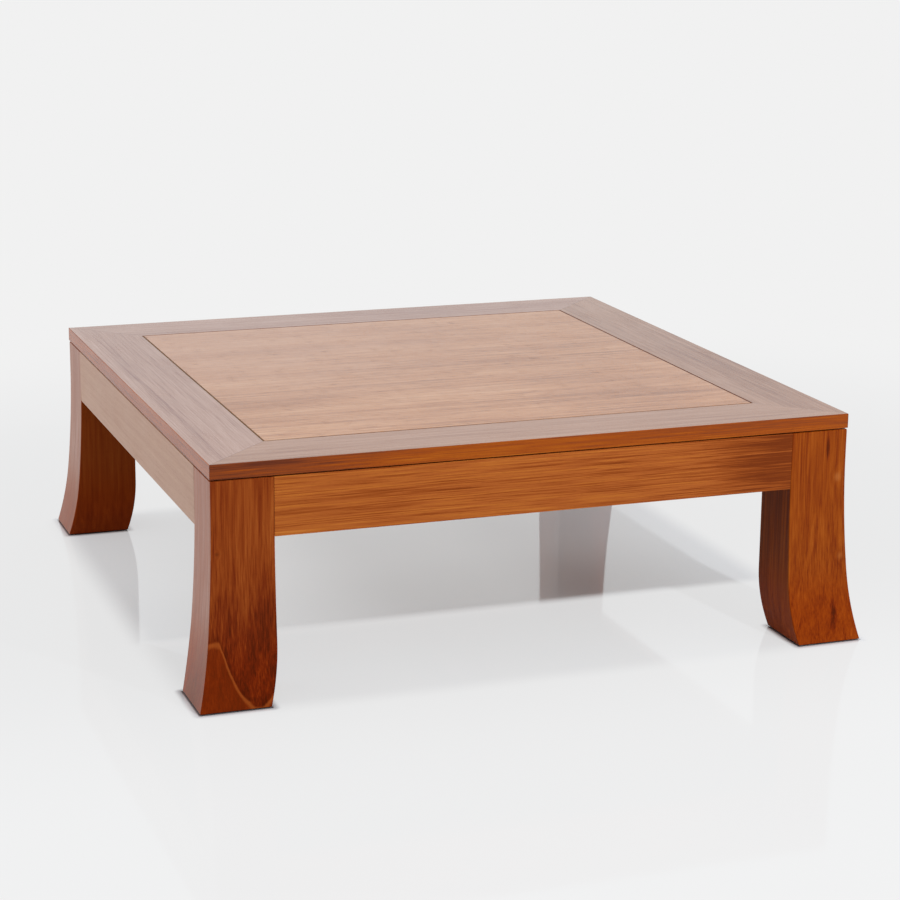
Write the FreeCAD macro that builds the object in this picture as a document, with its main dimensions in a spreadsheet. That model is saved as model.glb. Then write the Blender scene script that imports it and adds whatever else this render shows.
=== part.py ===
# Square low table of stained teak. Its top is four mitred border boards round a flush veneered
# panel. Battens inside the aprons hold the top a shadow gap above the frame. The aprons are tenoned
# into four solid legs, flush with them, and the legs sweep outwards to the floor.
#
# The origin is on the floor under the middle of the top, +Z is up and the front is towards -Y.
# The table is square in plan, so each side piece is made for the front and each corner piece for
# the front left corner, and a quarter turn about Z takes it to its own side or corner.
import FreeCAD
import Part
import Sketcher
import math
import os

# Driving dimensions in millimetres, with what each one sets.
SIZES = (
    ("top_side", 1000.0, "side of the square top"),
    ("table_height", 357.0, "floor to the upper face of the top"),
    ("slab_thickness", 22.5, "thickness of the border boards and of the panel"),
    ("border_width", 108.5, "width of a border board"),
    ("top_overhang", 0.5, "top past the faces of the legs and aprons"),
    ("shadow_gap", 1.8, "open line between the top and the frame"),
    ("arris_radius", 1.0, "softened edge of the boards"),
    ("panel_seam", 0.4, "open line between the border and the panel"),
    ("seam_chamfer", 1.3, "bevel on each side of the panel's seam"),
    ("veneer_thickness", 0.6, "face and backing veneers of the panel"),
    ("tongue_thickness", 6.0, "tongue round the panel"),
    ("tongue_length", 8.0, "reach of the panel's tongue into the border"),
    ("joint_play", 0.2, "clearance of a tongue, tenon or spline in its slot"),
    ("spline_thickness", 4.0, "loose tongue in a mitre"),
    ("spline_width", 24.0, "loose tongue across the mitre"),
    ("spline_outer_inset", 26.0, "loose tongue's end from the table's corner"),
    ("spline_inner_inset", 32.0, "loose tongue's end from the panel's corner"),
    ("apron_depth", 87.5, "apron from its upper to its lower edge"),
    ("apron_thickness", 25.0, "apron from its outer to its inner face"),
    ("tenon_length", 40.0, "apron's tenon into the leg"),
    ("tenon_thickness", 9.0, "apron's tenon across"),
    ("tenon_setback", 8.0, "apron's outer face to its tenon"),
    ("tenon_upper_shoulder", 16.0, "apron's upper edge to its tenon"),
    ("tenon_lower_shoulder", 10.0, "apron's lower edge to its tenon"),
    ("leg_width", 93.0, "square section of a leg above its sweep"),
    ("leg_arris_radius", 1.6, "softened long edges of a leg"),
    ("sweep_drop", 42.3, "leg's upper end to where its outer face leaves the vertical"),
    ("sweep_turn", 110.0, "height where the outer sweep tightens"),
    ("upper_sweep_radius", 2200.0, "outer face above the turn"),
    ("lower_sweep_radius", 640.0, "outer face below the turn"),
    ("heel_start", 95.0, "height where a leg's inner face leaves the vertical"),
    ("heel_radius", 330.0, "inner face below that height"),
    ("glide_diameter", 62.0, "felt glide under a foot"),
    ("glide_thickness", 3.0, "felt glide from face to face"),
    ("glide_proud", 1.0, "glide below the foot"),
    ("batten_thickness", 20.0, "batten inside an apron, across"),
    ("batten_height", 35.0, "batten inside an apron, from its lower edge to the top"),
    ("batten_end_play", 1.0, "batten's end to the leg"),
    ("rail_width", 30.0, "cross rail under the panel"),
    ("rail_spacing", 340.0, "middle of one cross rail to the middle of the other"),
    ("housing_depth", 10.0, "cross rail's end into the batten"),
    ("block_length", 90.0, "corner block along each apron, from the leg's face"),
    ("block_height", 46.0, "corner block from its lower to its upper face"),
    ("block_rise", 5.0, "apron's lower edge to the corner block"),
    ("screw_diameter", 4.0, "wood screw's shank"),
    ("screw_head_diameter", 8.0, "wood screw's head"),
    ("screw_head_height", 3.0, "wood screw's countersunk head"),
    ("screw_bite", 14.0, "wood screw into the piece that it holds"),
    ("screw_sink", 0.5, "wood screw's head below the surface"),
    ("screw_play", 0.1, "hole's wall to the screw"),
    ("bolt_diameter", 8.0, "leg bolt's shank"),
    ("bolt_head_width", 13.0, "leg bolt's six-sided head, across its flats"),
    ("bolt_head_height", 5.5, "leg bolt's head, along its axis"),
    ("bolt_bite", 48.0, "leg bolt into the leg"),
    ("washer_diameter", 22.0, "leg bolt's washer"),
    ("washer_thickness", 1.6, "leg bolt's washer, from face to face"),
    ("overrun", 5.0, "how far a cut runs past the face that it opens"),
)

# Places of the fasteners as shares of the half length of the piece that they go through.
BATTEN_SCREW_SHARES = (-0.8, 0.0, 0.8)
TOP_SCREW_SHARES = (-0.6, 0.6)
RAIL_SCREW_SHARES = (-0.62, 0.0, 0.62)
# Height of the batten's own screws, as a share of the batten's height.
BATTEN_SCREW_HEIGHT_SHARE = 0.4

SIDES = ("front", "right", "back", "left")
CORNERS = ("front_left", "front_right", "back_right", "back_left")
Z_AXIS = FreeCAD.Vector(0, 0, 1)
HALF_ROOT = math.sqrt(0.5)
INTO_LEG = FreeCAD.Vector(-HALF_ROOT, -HALF_ROOT, 0)
# Two coordinates closer than this are the same place.
SAME_PLACE = 1e-6

doc = FreeCAD.newDocument("LowTable")
sheet = doc.addObject("Spreadsheet::Sheet", "Sizes")
sub_parts = []


class Length:
    """A size that knows both its value and the sheet expression that it comes from."""

    def __init__(self, value, text):
        self.value = value
        self.text = text

    def __add__(self, other):
        return Length(self.value + other.value, "(%s + %s)" % (self.text, other.text))

    def __sub__(self, other):
        return Length(self.value - other.value, "(%s - %s)" % (self.text, other.text))

    def __mul__(self, share):
        return Length(self.value * share, "(%s * %.9f)" % (self.text, share))

    def __truediv__(self, share):
        return Length(self.value / share, "(%s / %.9f)" % (self.text, share))

    def __neg__(self):
        return Length(-self.value, "(0 - %s)" % self.text)


def fill_sheet():
    """Write the driving dimensions, one row each, and give back a Length for every alias."""
    sizes = {}
    for row, (alias, value, meaning) in enumerate(SIZES, start=1):
        sheet.set("A%d" % row, meaning)
        sheet.set("B%d" % row, repr(value))
        sheet.setAlias("B%d" % row, alias)
        sizes[alias] = Length(value, "Sizes.%s" % alias)
    doc.recompute()
    return sizes


size = fill_sheet()
NO_PLAY = Length(0.0, "0")

# Planes and faces that several pieces share.
top_half = size["top_side"] / 2
slab_bottom = size["table_height"] - size["slab_thickness"]
slab_middle = size["table_height"] - size["slab_thickness"] / 2
border_inner = top_half - size["border_width"]
panel_half = border_inner - size["panel_seam"]
tongue_half = border_inner + size["tongue_length"]
frame_half = top_half - size["top_overhang"]
frame_top = slab_bottom - size["shadow_gap"]
apron_bottom = frame_top - size["apron_depth"]
apron_inner = frame_half - size["apron_thickness"]
leg_inner = frame_half - size["leg_width"]
batten_inner = apron_inner - size["batten_thickness"]
batten_bottom = slab_bottom - size["batten_height"]
batten_end = leg_inner - size["batten_end_play"]
rail_end = batten_inner + size["housing_depth"]
block_bottom = apron_bottom + size["block_rise"]
sweep_start = frame_top - size["sweep_drop"]


def quarter_turn(count):
    """The placement that takes a front or front left piece round the table."""
    return FreeCAD.Placement(FreeCAD.Vector(), FreeCAD.Rotation(Z_AXIS, 90 * count))


def keep(piece, label, turns=0):
    """Name a finished sub-part and turn it to its own side or corner."""
    piece.Label = label
    piece.Placement = quarter_turn(turns)
    sub_parts.append(piece)
    return piece


def new_body(name):
    return doc.addObject("PartDesign::Body", name + "_body")


def sketch_on(body, role, height=None):
    """An empty sketch on one of the body's origin planes, raised along the plane's normal."""
    sketch = body.newObject("Sketcher::SketchObject", "Outline")
    plane = [item for item in body.Origin.OriginFeatures if item.Role == role][0]
    sketch.AttachmentSupport = [(plane, "")]
    sketch.MapMode = "FlatFace"
    if height is not None:
        sketch.setExpression("AttachmentOffset.Base.z", height.text)
    return sketch


def pin_point(sketch, line, end, across, up):
    """Tie one end of a sketch line to a place given by two sizes."""
    for kind, axis, place in (("DistanceX", -2, across), ("DistanceY", -1, up)):
        if place is None:
            continue
        if place.value == 0:
            sketch.addConstraint(Sketcher.Constraint("PointOnObject", line, end, axis))
            continue
        index = sketch.addConstraint(Sketcher.Constraint(kind, -1, 1, line, end, place.value))
        sketch.setExpression("Constraints[%d]" % index, place.text)


def draw_outline(sketch, corners):
    """A closed outline of straight lines through corners given as pairs of sizes."""
    points = [FreeCAD.Vector(across.value, up.value, 0) for across, up in corners]
    count = len(points)
    for index, point in enumerate(points):
        sketch.addGeometry(Part.LineSegment(point, points[(index + 1) % count]), False)
    for index in range(count):
        sketch.addConstraint(Sketcher.Constraint("Coincident", index, 2, (index + 1) % count, 1))
    for index, (across, up) in enumerate(corners):
        pin_point(sketch, index, 1, across, up)


def draw_rectangle(sketch, left, right, low, high):
    draw_outline(sketch, ((left, low), (right, low), (right, high), (left, high)))


def pad(body, sketch, length, both_ways=False):
    feature = body.newObject("PartDesign::Pad", "Pad")
    feature.Profile = sketch
    feature.Midplane = both_ways
    feature.setExpression("Length", length.text)
    doc.recompute()
    return feature


def pocket(body, sketch, length, both_ways=False):
    """Cut a sketch along its normal, or both ways, and make sure that wood is removed."""
    before = body.Shape.Volume
    feature = body.newObject("PartDesign::Pocket", "Pocket")
    feature.Profile = sketch
    feature.Midplane = both_ways
    feature.Reversed = not both_ways
    feature.setExpression("Length", length.text)
    doc.recompute()
    if not body.Shape.Volume < before:
        raise ValueError("a pocket in %s removes nothing" % body.Name)
    return feature


def ease(body, kind, length, wanted):
    """Round or bevel the edges of a body for whose two ends wanted(start, end) is true."""
    names = []
    for index, edge in enumerate(body.Shape.Edges, start=1):
        if wanted(edge.Vertexes[0].Point, edge.Vertexes[-1].Point):
            names.append("Edge%d" % index)
    base = body.Tip
    feature = body.newObject("PartDesign::" + kind, kind)
    feature.Base = (base, names)
    feature.setExpression({"Fillet": "Radius", "Chamfer": "Size"}[kind], length.text)
    doc.recompute()


def both(start, end, axis, plane):
    """Whether an edge's two ends both have a coordinate at a size."""
    return all(abs(getattr(point, axis) - plane.value) < SAME_PLACE for point in (start, end))


def level(start, end):
    """Whether an edge's two ends are at one height."""
    return abs(start.z - end.z) < SAME_PLACE


def box(name, left, right, near, far, low, high):
    """A Part box between six planes, each given by a size."""
    piece = doc.addObject("Part::Box", name)
    for side, start, end in (("Length", left, right), ("Width", near, far), ("Height", low, high)):
        piece.setExpression(side, (end - start).text)
    for axis, start in (("x", left), ("y", near), ("z", low)):
        piece.setExpression("Placement.Base.%s" % axis, start.text)
    return piece


def feature_of(name, shapes):
    """A feature that holds one shape, or a group of separate ones, made from the sheet's values."""
    piece = doc.addObject("Part::Feature", name)
    piece.Shape = shapes[0] if len(shapes) == 1 else Part.makeCompound(shapes)
    return piece


def combine(kind, name, base, tool):
    """A Part cut or common of two objects."""
    piece = doc.addObject("Part::" + kind, name)
    piece.Base = base
    piece.Tool = tool
    return piece


# Fasteners. Each is drawn down along -Z with the top of its head at the origin, then turned to the
# direction in which it is driven. Given some play, the same outline makes the hole.
def screw_shape(reach, play):
    """A countersunk wood screw whose tip is reach below its head, or its hole."""
    head = size["screw_head_diameter"].value / 2 + play
    shank = size["screw_diameter"].value / 2 + play
    point_height = size["screw_diameter"].value
    top = size["overrun"].value if play else 0
    outline = [
        FreeCAD.Vector(0, 0, -reach - play),
        FreeCAD.Vector(shank, 0, point_height - reach - play),
        FreeCAD.Vector(shank, 0, -size["screw_head_height"].value),
        FreeCAD.Vector(head, 0, 0),
    ]
    if play:
        outline.append(FreeCAD.Vector(head, 0, top))
    outline.append(FreeCAD.Vector(0, 0, top))
    face = Part.Face(Part.makePolygon(outline + outline[:1]))
    return face.revolve(FreeCAD.Vector(), Z_AXIS, 360)


def driven(shape, place, direction):
    """A copy of a fastener at a place, driven along a direction."""
    copy = shape.copy()
    copy.Placement = FreeCAD.Placement(place, FreeCAD.Rotation(-Z_AXIS, direction))
    return copy


def screw_row(surface_places, direction, through, play):
    """Screws at places on a surface, sunk a little, through one thickness and into the next piece."""
    sink = size["screw_sink"].value
    shape = screw_shape(through.value + size["screw_bite"].value - sink, play)
    return [driven(shape, place + direction * sink, direction) for place in surface_places]


def batten_screws(play):
    """The screws that hold the front batten to its apron."""
    height = batten_bottom + size["batten_height"] * BATTEN_SCREW_HEIGHT_SHARE
    places = [
        FreeCAD.Vector(batten_end.value * share, -batten_inner.value, height.value)
        for share in BATTEN_SCREW_SHARES
    ]
    return screw_row(places, FreeCAD.Vector(0, -1, 0), size["batten_thickness"], play)


def top_screws(play):
    """The screws that go up through the front batten into the border board."""
    middle = (apron_inner + batten_inner) / 2
    places = [
        FreeCAD.Vector(batten_end.value * share, -middle.value, batten_bottom.value)
        for share in TOP_SCREW_SHARES
    ]
    return screw_row(places, Z_AXIS, size["batten_height"], play)


def rail_screws(play):
    """The screws that go up through the cross rails into the panel."""
    across = size["rail_spacing"].value / 2
    places = [
        FreeCAD.Vector(side * across, panel_half.value * share, batten_bottom.value)
        for side in (-1, 1)
        for share in RAIL_SCREW_SHARES
    ]
    return screw_row(places, Z_AXIS, size["batten_height"], play)


def bolt_seat():
    """The middle of the front left corner block's slanting face, at the bolt's height."""
    middle = (leg_inner - size["block_length"] + apron_inner) / 2
    height = block_bottom + size["block_height"] / 2
    return FreeCAD.Vector(-middle.value, -middle.value, height.value)


def leg_bolt(play):
    """The bolt through the front left corner block into the leg, or its hole."""
    seat = bolt_seat()
    block_through = (leg_inner.value + seat.x) / HALF_ROOT
    lift = size["washer_thickness"].value
    reach = lift + block_through + size["bolt_bite"].value + play
    radius = size["bolt_diameter"].value / 2 + play
    shank = Part.makeCylinder(radius, reach, FreeCAD.Vector(), -Z_AXIS)
    if play:
        return [driven(shank, seat - INTO_LEG * lift, INTO_LEG)]
    to_corner = FreeCAD.Vector(size["bolt_head_width"].value / 2 / math.cos(math.pi / 6), 0, 0)
    corners = [FreeCAD.Rotation(Z_AXIS, 60 * n).multVec(to_corner) for n in range(6)]
    head = Part.Face(Part.makePolygon(corners + corners[:1]))
    head = head.extrude(Z_AXIS * size["bolt_head_height"].value)
    return [driven(shank.fuse(head).removeSplitter(), seat - INTO_LEG * lift, INTO_LEG)]


def leg_washer():
    """The washer under the leg bolt's head."""
    hole = size["bolt_diameter"].value / 2 + size["screw_play"].value
    thickness = size["washer_thickness"].value
    ring = Part.makeCylinder(size["washer_diameter"].value / 2, thickness)
    ring = ring.cut(Part.makeCylinder(hole, thickness))
    return driven(ring, bolt_seat(), INTO_LEG)


def turned(shapes, count):
    """Copies of shapes made for the front, turned to another side or corner."""
    copies = []
    for shape in shapes:
        copy = shape.copy()
        copy.Placement = quarter_turn(count).multiply(copy.Placement)
        copies.append(copy)
    return copies


def around(make):
    """The same shapes at all four sides or corners."""
    return [shape for count in range(4) for shape in turned(make, count)]


# The top.
def mitre_slot(sketch, side, play=NO_PLAY):
    """The outline of a loose tongue, or its slot, along the mitre at one end of the front board."""
    corner = top_half
    start = corner - size["spline_outer_inset"] * HALF_ROOT
    end = border_inner + size["spline_inner_inset"] * HALF_ROOT
    swing = (size["spline_width"] / 2 + play) * HALF_ROOT
    reach = play * HALF_ROOT
    places = (
        (start + reach - swing, start + reach + swing),
        (start + reach + swing, start + reach - swing),
        (end - reach + swing, end - reach - swing),
        (end - reach - swing, end - reach + swing),
    )
    draw_outline(sketch, [(across * side, -up) for across, up in places])


def border_board(side_name, turns):
    """A mitred board with a groove for the panel and a slot in each mitre."""
    name = "top_border_" + side_name
    body = new_body(name)
    outline = sketch_on(body, "XY_Plane", slab_bottom)
    draw_outline(outline, (
        (-top_half, -top_half),
        (top_half, -top_half),
        (border_inner, -border_inner),
        (-border_inner, -border_inner),
    ))
    pad(body, outline, size["slab_thickness"])
    ease(body, "Fillet", size["arris_radius"], lambda a, b: both(a, b, "y", -top_half) and level(a, b))
    ease(body, "Chamfer", size["seam_chamfer"],
         lambda a, b: both(a, b, "y", -border_inner) and both(a, b, "z", size["table_height"]))
    play = size["joint_play"]
    groove = sketch_on(body, "YZ_Plane")
    groove_half = size["tongue_thickness"] / 2 + play
    draw_rectangle(groove, -(tongue_half + play), -(border_inner - size["overrun"]),
                   slab_middle - groove_half, slab_middle + groove_half)
    pocket(body, groove, size["top_side"], both_ways=True)
    for side in (-1, 1):
        slot = sketch_on(body, "XY_Plane", slab_middle)
        mitre_slot(slot, side, play)
        pocket(body, slot, size["spline_thickness"] + play * 2, both_ways=True)
    holes = feature_of(name + "_holes", top_screws(size["screw_play"].value))
    return keep(combine("Cut", name, body, holes), name, turns)


def mitre_spline(corner_name, turns):
    """The loose plywood tongue in the mitre at the front left corner."""
    body = new_body("mitre_spline_" + corner_name)
    outline = sketch_on(body, "XY_Plane", slab_middle)
    mitre_slot(outline, -1)
    pad(body, outline, size["spline_thickness"], both_ways=True)
    return keep(body, "mitre_spline_" + corner_name, turns)


def panel_blank():
    """The whole panel with its tongue and bevelled upper edges, before it is parted into layers."""
    body = new_body("panel")
    face = sketch_on(body, "XY_Plane", slab_bottom)
    draw_rectangle(face, -panel_half, panel_half, -panel_half, panel_half)
    pad(body, face, size["slab_thickness"])
    ease(body, "Chamfer", size["seam_chamfer"], lambda a, b: both(a, b, "z", size["table_height"]))
    tongue = sketch_on(body, "XY_Plane", slab_middle)
    draw_rectangle(tongue, -tongue_half, tongue_half, -tongue_half, tongue_half)
    pad(body, tongue, size["tongue_thickness"], both_ways=True)
    return body


def panel_layers():
    """The face veneer, the core and the backing veneer, cut from the same panel."""
    blank = panel_blank()
    table_height = size["table_height"]
    core_top = table_height - size["veneer_thickness"]
    core_bottom = slab_bottom + size["veneer_thickness"]
    holes = feature_of("panel_holes", rail_screws(size["screw_play"].value))
    for label, low, high in (
        ("panel_face_veneer", core_top, table_height),
        ("panel_core", core_bottom, core_top),
        ("panel_back_veneer", slab_bottom, core_bottom),
    ):
        layer = box(label + "_space", -top_half, top_half, -top_half, top_half, low, high)
        piece = combine("Common", label + "_layer", blank, layer)
        if label != "panel_face_veneer":
            piece = combine("Cut", label, piece, holes)
        keep(piece, label)


# The frame under the top.
def apron(side_name, turns):
    """A front apron with a tenon at each end."""
    name = "apron_" + side_name
    body = new_body(name)
    board = sketch_on(body, "XY_Plane", apron_bottom)
    draw_rectangle(board, -leg_inner, leg_inner, -frame_half, -apron_inner)
    pad(body, board, size["apron_depth"])
    ease(body, "Fillet", size["arris_radius"], lambda a, b: both(a, b, "y", -frame_half) and level(a, b))
    tenon_face = -frame_half + size["tenon_setback"]
    tenon_bottom = apron_bottom + size["tenon_lower_shoulder"]
    tenon_end = leg_inner + size["tenon_length"]
    tenon = sketch_on(body, "XY_Plane", tenon_bottom)
    draw_rectangle(tenon, -tenon_end, tenon_end, tenon_face, tenon_face + size["tenon_thickness"])
    pad(body, tenon, size["apron_depth"] - size["tenon_lower_shoulder"] - size["tenon_upper_shoulder"])
    holes = feature_of(name + "_holes", batten_screws(size["screw_play"].value))
    return keep(combine("Cut", name, body, holes), name, turns)


def top_batten(side_name, turns):
    """A batten inside the front apron. It stands proud of the apron and carries the top."""
    name = "top_batten_" + side_name
    body = new_body(name)
    strip = sketch_on(body, "XY_Plane", batten_bottom)
    draw_rectangle(strip, -batten_end, batten_end, -apron_inner, -batten_inner)
    pad(body, strip, size["batten_height"])
    if side_name in ("front", "back"):
        across = size["rail_width"] / 2 + size["joint_play"]
        for side in (-1, 1):
            middle = size["rail_spacing"] / 2 * side
            housing = sketch_on(body, "XY_Plane", slab_middle)
            draw_rectangle(housing, middle - across, middle + across,
                           -(rail_end + size["joint_play"]), -(batten_inner - size["overrun"]))
            pocket(body, housing, size["table_height"], both_ways=True)
    play = size["screw_play"].value
    holes = feature_of(name + "_holes", batten_screws(play) + top_screws(play))
    return keep(combine("Cut", name, body, holes), name, turns)


def cross_rail(side_name, side):
    """A rail under the panel, housed in the front and back battens."""
    middle = size["rail_spacing"] / 2 * side
    half = size["rail_width"] / 2
    name = "cross_rail_" + side_name
    bar = box(name + "_bar", middle - half, middle + half, -rail_end, rail_end, batten_bottom, slab_bottom)
    holes = feature_of(name + "_holes", rail_screws(size["screw_play"].value))
    return keep(combine("Cut", name, bar, holes), name)


def corner_block(corner_name, turns):
    """A block glued to both aprons and to the leg at the front left corner, bored for the bolt."""
    name = "corner_block_" + corner_name
    body = new_body(name)
    outline = sketch_on(body, "XY_Plane", block_bottom)
    far = leg_inner - size["block_length"]
    draw_outline(outline, (
        (-leg_inner, -apron_inner),
        (-far, -apron_inner),
        (-apron_inner, -far),
        (-apron_inner, -leg_inner),
        (-leg_inner, -leg_inner),
    ))
    pad(body, outline, size["block_height"])
    hole = feature_of(name + "_hole", leg_bolt(size["screw_play"].value))
    return keep(combine("Cut", name, body, hole), name, turns)


# The legs.
def sweep_points():
    """Where the arcs of a leg's profile start, meet and end, as outward distance and height."""
    upper = size["upper_sweep_radius"].value
    lower = size["lower_sweep_radius"].value
    heel = size["heel_radius"].value
    foot = size["glide_proud"].value
    outer = frame_half.value
    inner = leg_inner.value
    start = sweep_start.value
    turn = size["sweep_turn"].value
    slope = math.asin((start - turn) / upper)
    upper_centre = FreeCAD.Vector(outer + upper, start, 0)
    joint = upper_centre - FreeCAD.Vector(math.cos(slope), math.sin(slope), 0) * upper
    lower_centre = joint + FreeCAD.Vector(math.cos(slope), math.sin(slope), 0) * lower
    foot_slope = math.asin((lower_centre.y - foot) / lower)
    toe = lower_centre - FreeCAD.Vector(math.cos(foot_slope), math.sin(foot_slope), 0) * lower
    heel_start = size["heel_start"].value
    heel_centre = FreeCAD.Vector(inner + heel, heel_start, 0)
    heel_slope = math.asin((heel_start - foot) / heel)
    back = heel_centre - FreeCAD.Vector(math.cos(heel_slope), math.sin(heel_slope), 0) * heel
    return {
        "upper_centre": upper_centre,
        "slope": slope,
        "lower_centre": lower_centre,
        "foot_slope": foot_slope,
        "toe": toe,
        "heel_centre": heel_centre,
        "heel_slope": heel_slope,
        "back": back,
    }


def draw_leg_profile(sketch):
    """One side view of the front left leg: its outer face is towards the sketch's left."""
    p = sweep_points()
    outer, inner, top = -frame_half, -leg_inner, frame_top

    def mirrored(point):
        return FreeCAD.Vector(-point.x, point.y, 0)

    def arc(centre, radius, low, high):
        circle = Part.Circle(mirrored(centre), Z_AXIS, radius)
        return Part.ArcOfCircle(circle, low, high)

    upper_start = FreeCAD.Vector(outer.value, sweep_start.value, 0)
    heel_start = FreeCAD.Vector(inner.value, size["heel_start"].value, 0)
    top_outer = FreeCAD.Vector(outer.value, top.value, 0)
    top_inner = FreeCAD.Vector(inner.value, top.value, 0)
    sketch.addGeometry(Part.LineSegment(top_outer, upper_start), False)
    sketch.addGeometry(arc(p["upper_centre"], size["upper_sweep_radius"].value, -p["slope"], 0), False)
    sketch.addGeometry(
        arc(p["lower_centre"], size["lower_sweep_radius"].value, -p["foot_slope"], -p["slope"]), False)
    sketch.addGeometry(Part.LineSegment(mirrored(p["toe"]), mirrored(p["back"])), False)
    sketch.addGeometry(arc(p["heel_centre"], size["heel_radius"].value, -p["heel_slope"], 0), False)
    sketch.addGeometry(Part.LineSegment(heel_start, top_inner), False)
    sketch.addGeometry(Part.LineSegment(top_inner, top_outer), False)
    outer_line, upper, lower, sole, heel, inner_line, cap = range(7)
    for kind, first, first_end, second, second_end in (
        ("Tangent", outer_line, 2, upper, 2),
        ("Tangent", upper, 1, lower, 2),
        ("Coincident", lower, 1, sole, 1),
        ("Coincident", sole, 2, heel, 1),
        ("Tangent", heel, 2, inner_line, 1),
        ("Coincident", inner_line, 2, cap, 1),
        ("Coincident", cap, 2, outer_line, 1),
    ):
        sketch.addConstraint(Sketcher.Constraint(kind, first, first_end, second, second_end))
    sketch.addConstraint(Sketcher.Constraint("Vertical", outer_line))
    sketch.addConstraint(Sketcher.Constraint("Vertical", inner_line))
    for line, radius in (
        (upper, "upper_sweep_radius"),
        (lower, "lower_sweep_radius"),
        (heel, "heel_radius"),
    ):
        index = sketch.addConstraint(Sketcher.Constraint("Radius", line, size[radius].value))
        sketch.setExpression("Constraints[%d]" % index, size[radius].text)
    pin_point(sketch, outer_line, 1, outer, top)
    pin_point(sketch, outer_line, 2, None, sweep_start)
    pin_point(sketch, upper, 1, None, size["sweep_turn"])
    pin_point(sketch, sole, 1, None, size["glide_proud"])
    pin_point(sketch, sole, 2, None, size["glide_proud"])
    pin_point(sketch, inner_line, 1, None, size["heel_start"])
    pin_point(sketch, inner_line, 2, inner, top)


def leg_side_view(name, role):
    """The leg's profile as a long bar across the table, as if sawn from one side only."""
    body = new_body(name)
    outline = sketch_on(body, role)
    draw_leg_profile(outline)
    pad(body, outline, size["top_side"] * 2, both_ways=True)
    return body


def foot_middle():
    """The outward distance of the middle of a foot."""
    p = sweep_points()
    return (p["toe"].x + p["back"].x) / 2


def glide_shape(play):
    """The felt glide under the front left foot, or the recess that it is let into."""
    middle = foot_middle()
    thickness = size["glide_thickness"].value
    low = -size["overrun"].value if play else 0
    radius = size["glide_diameter"].value / 2 + play
    return Part.makeCylinder(radius, thickness - low, FreeCAD.Vector(-middle, -middle, low))


def is_long_arris(edge):
    """Whether an edge of the leg is a stretch of one that runs from its head to its foot."""
    extent = edge.BoundBox
    return extent.ZLength > max(extent.XLength, extent.YLength)


def leg(corner_name, turns):
    """The front left leg: two side views crossed, then eased, mortised, bored and recessed."""
    name = "leg_" + corner_name
    crossed = combine("Common", name + "_sawn", leg_side_view(name + "_front", "XZ_Plane"),
                      leg_side_view(name + "_side", "YZ_Plane"))
    doc.recompute()
    eased = doc.addObject("Part::Fillet", name + "_eased")
    eased.Base = crossed
    radius = size["leg_arris_radius"].value
    eased.Edges = [
        (index, radius, radius)
        for index, edge in enumerate(crossed.Shape.Edges, start=1)
        if is_long_arris(edge)
    ]
    play = size["joint_play"]
    near = -frame_half + size["tenon_setback"] - play
    far = near + size["tenon_thickness"] + play * 2
    start = -(leg_inner + size["tenon_length"] + play)
    end = -(leg_inner - size["overrun"])
    low = apron_bottom + size["tenon_lower_shoulder"] - play
    high = frame_top - size["tenon_upper_shoulder"] + play
    tools = doc.addObject("Part::MultiFuse", name + "_tools")
    tools.Shapes = [
        box(name + "_front_mortise", start, end, near, far, low, high),
        box(name + "_side_mortise", near, far, start, end, low, high),
        feature_of(name + "_bolt_hole", leg_bolt(size["screw_play"].value)),
        feature_of(name + "_recess", [glide_shape(play.value)]),
    ]
    return keep(combine("Cut", name, eased, tools), name, turns)


def make_table():
    """Every sub-part in its place."""
    for turns, side_name in enumerate(SIDES):
        border_board(side_name, turns)
        apron(side_name, turns)
        top_batten(side_name, turns)
    panel_layers()
    cross_rail("left", -1)
    cross_rail("right", 1)
    for turns, corner_name in enumerate(CORNERS):
        mitre_spline(corner_name, turns)
        corner_block(corner_name, turns)
        leg(corner_name, turns)
        glide = feature_of("foot_glide_" + corner_name, [glide_shape(0)])
        keep(glide, "foot_glide_" + corner_name, turns)
    for label, shapes in (
        ("batten_screws", around(batten_screws(0))),
        ("top_screws", around(top_screws(0))),
        ("rail_screws", rail_screws(0)),
        ("leg_bolts", around(leg_bolt(0))),
        ("leg_bolt_washers", around([leg_washer()])),
    ):
        keep(feature_of(label, shapes), label)
    doc.recompute()


def check_and_write():
    """Stop at any failed object, then write one file for each sub-part."""
    for item in doc.Objects:
        if "Invalid" in item.State or "Error" in item.State:
            raise ValueError("%s is %s" % (item.Name, item.State))
    for piece in sub_parts:
        shape = piece.Shape
        if shape.isNull() or not shape.isValid() or not shape.Solids:
            raise ValueError("%s has no valid solid" % piece.Label)
        print("%-28s %2d solids %12.1f mm3" % (piece.Label, len(shape.Solids), shape.Volume))
    os.makedirs("parts", exist_ok=True)
    for piece in sub_parts:
        piece.Shape.exportStep("parts/%s.step" % piece.Label)


make_table()
check_and_write()
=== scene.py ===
# Square low table of stained teak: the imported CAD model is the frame, and this script gives every
# piece its finish. It makes the legs and the screws anew, then the floor, the light and the
# camera. Lengths are in metres, the origin is on the floor under the middle of the top, and the
# front is towards -Y.
import math

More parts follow.
